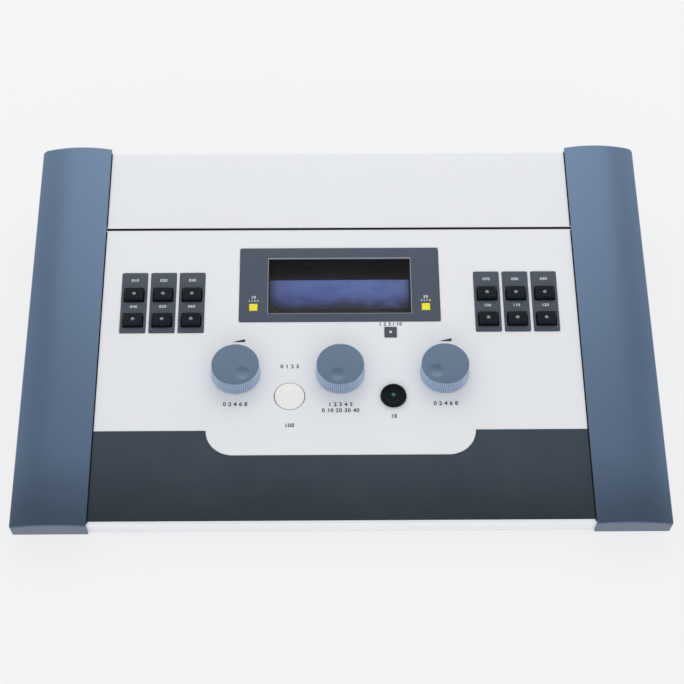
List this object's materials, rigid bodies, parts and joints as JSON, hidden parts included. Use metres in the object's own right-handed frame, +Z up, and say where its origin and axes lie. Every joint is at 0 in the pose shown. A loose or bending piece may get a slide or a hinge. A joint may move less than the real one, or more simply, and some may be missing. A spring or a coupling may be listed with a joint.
{
  "type": "audiometer",
  "caption": "Desktop audiometer: a sloping console between arched end cheeks, with a display window, push keys, level and frequency knobs and round signal and save buttons.",
  "frame": {"origin": "on the desk under the middle of the console's outline", "axes": "+X to the operator's right, +Y to the rear, +Z up"},
  "size_m": [0.37, 0.2607, 0.0599],
  "materials": {
    "white_shell": "satin, very fine grain",
    "base_shell": "matt",
    "cheek_shell": "satin painted slate blue",
    "band_pad": "satin",
    "gasket_rubber": "matt",
    "foot_rubber": "matt",
    "screw_steel": "zinc plated",
    "bezel_film": "satin film",
    "plate_film": "satin film",
    "window_clear": "clear acrylic",
    "black_plastic": "matt",
    "black_metal": "black painted tin",
    "lcd_face": "blue backlit liquid crystal face",
    "circuit_board": "green solder resist",
    "ribbon_plastic": "grey flat cable",
    "lamp_yellow": "translucent yellow",
    "led_resin": "diffusing resin",
    "key_plastic": "satin",
    "button_white": "satin",
    "button_black": "semi gloss",
    "encoder_metal": "die cast",
    "nut_metal": "nickel plated",
    "supply_case": "potted module",
    "rear_plate": "powder coated",
    "jack_plastic": "moulded",
    "port_metal": "tin plated",
    "knob_plastic": "satin slate blue",
    "shaft_metal": "turned"
  },
  "bodies": {
    "console": {"front_panel": "white_shell", "rear_cover": "white_shell", "base_pan": "base_shell", "left_cheek": "cheek_shell", "right_cheek": "cheek_shell", "wrist_band": "band_pad", "seam_gasket": "gasket_rubber", "rubber_feet": "foot_rubber", "case_screws": "screw_steel", "display_bezel": "bezel_film", "window_lens": "window_clear", "lcd_shroud": "black_plastic", "lcd_frame": "black_metal", "lcd_glass": "lcd_face", "lcd_board": "circuit_board", "display_ribbon": "ribbon_plastic", "response_lamp_lens": "lamp_yellow", "power_lamp_lens": "lamp_yellow", "left_key_plates": "plate_film", "right_key_plates": "plate_film", "key_switches": "black_plastic", "key_boards": "circuit_board", "control_board": "circuit_board", "panel_leds": "led_resin", "button_switches": "black_plastic", "encoder_bodies": "encoder_metal", "encoder_nuts": "nut_metal", "mic_trim": "plate_film", "mic_capsule": "encoder_metal", "main_board": "circuit_board", "board_components": "black_plastic", "power_module": "supply_case", "rear_panel": "rear_plate", "phone_jacks": "jack_plastic", "jack_nuts": "nut_metal", "data_port": "port_metal", "supply_inlet": "black_plastic", "power_switch_housing": "black_plastic"},
    "left_key_1": {"left_key_1": "key_plastic"},
    "left_key_2": {"left_key_2": "key_plastic"},
    "left_key_3": {"left_key_3": "key_plastic"},
    "left_key_4": {"left_key_4": "key_plastic"},
    "left_key_5": {"left_key_5": "key_plastic"},
    "left_key_6": {"left_key_6": "key_plastic"},
    "right_key_1": {"right_key_1": "key_plastic"},
    "right_key_2": {"right_key_2": "key_plastic"},
    "right_key_3": {"right_key_3": "key_plastic"},
    "right_key_4": {"right_key_4": "key_plastic"},
    "right_key_5": {"right_key_5": "key_plastic"},
    "right_key_6": {"right_key_6": "key_plastic"},
    "signal_button": {"signal_button": "button_white"},
    "save_button": {"save_button": "button_black"},
    "left_level_control": {"left_level_knob": "knob_plastic", "left_level_shaft": "shaft_metal"},
    "frequency_control": {"frequency_knob": "knob_plastic", "frequency_shaft": "shaft_metal"},
    "right_level_control": {"right_level_knob": "knob_plastic", "right_level_shaft": "shaft_metal"},
    "power_rocker": {"power_rocker": "button_black"}
  },
  "joints": [
    {"name": "left_key_1_press", "type": "slide", "parent": "console", "child": "left_key_1", "axis": [0, 0.1564, -0.9877], "range_m": [0, 0.0008], "stiffness_N_per_m": 1200},
    {"name": "left_key_2_press", "type": "slide", "parent": "console", "child": "left_key_2", "axis": [0, 0.1564, -0.9877], "range_m": [0, 0.0008], "stiffness_N_per_m": 1200},
    {"name": "left_key_3_press", "type": "slide", "parent": "console", "child": "left_key_3", "axis": [0, 0.1564, -0.9877], "range_m": [0, 0.0008], "stiffness_N_per_m": 1200},
    {"name": "left_key_4_press", "type": "slide", "parent": "console", "child": "left_key_4", "axis": [0, 0.1564, -0.9877], "range_m": [0, 0.0008], "stiffness_N_per_m": 1200},
    {"name": "left_key_5_press", "type": "slide", "parent": "console", "child": "left_key_5", "axis": [0, 0.1564, -0.9877], "range_m": [0, 0.0008], "stiffness_N_per_m": 1200},
    {"name": "left_key_6_press", "type": "slide", "parent": "console", "child": "left_key_6", "axis": [0, 0.1564, -0.9877], "range_m": [0, 0.0008], "stiffness_N_per_m": 1200},
    {"name": "right_key_1_press", "type": "slide", "parent": "console", "child": "right_key_1", "axis": [0, 0.1564, -0.9877], "range_m": [0, 0.0008], "stiffness_N_per_m": 1200},
    {"name": "right_key_2_press", "type": "slide", "parent": "console", "child": "right_key_2", "axis": [0, 0.1564, -0.9877], "range_m": [0, 0.0008], "stiffness_N_per_m": 1200},
    {"name": "right_key_3_press", "type": "slide", "parent": "console", "child": "right_key_3", "axis": [0, 0.1564, -0.9877], "range_m": [0, 0.0008], "stiffness_N_per_m": 1200},
    {"name": "right_key_4_press", "type": "slide", "parent": "console", "child": "right_key_4", "axis": [0, 0.1564, -0.9877], "range_m": [0, 0.0008], "stiffness_N_per_m": 1200},
    {"name": "right_key_5_press", "type": "slide", "parent": "console", "child": "right_key_5", "axis": [0, 0.1564, -0.9877], "range_m": [0, 0.0008], "stiffness_N_per_m": 1200},
    {"name": "right_key_6_press", "type": "slide", "parent": "console", "child": "right_key_6", "axis": [0, 0.1564, -0.9877], "range_m": [0, 0.0008], "stiffness_N_per_m": 1200},
    {"name": "signal_button_press", "type": "slide", "parent": "console", "child": "signal_button", "axis": [0, 0.1564, -0.9877], "range_m": [0, 0.002], "stiffness_N_per_m": 500},
    {"name": "save_button_press", "type": "slide", "parent": "console", "child": "save_button", "axis": [0, 0.1564, -0.9877], "range_m": [0, 0.001], "stiffness_N_per_m": 1000},
    {"name": "left_level_turn", "type": "hinge", "parent": "console", "child": "left_level_control", "pos_m": [-0.0609, -0.03242, 0.03602], "axis": [0, -0.1564, 0.9877], "continuous": true},
    {"name": "frequency_turn", "type": "hinge", "parent": "console", "child": "frequency_control", "pos_m": [0, -0.03242, 0.03602], "axis": [0, -0.1564, 0.9877], "continuous": true},
    {"name": "right_level_turn", "type": "hinge", "parent": "console", "child": "right_level_control", "pos_m": [0.0609, -0.03242, 0.03602], "axis": [0, -0.1564, 0.9877], "continuous": true},
    {"name": "power_rocker_tilt", "type": "hinge", "parent": "console", "child": "power_rocker", "pos_m": [-0.122, 0.119, 0.03], "axis": [1, 0, 0], "range_deg": [0, 20]}
  ]
}
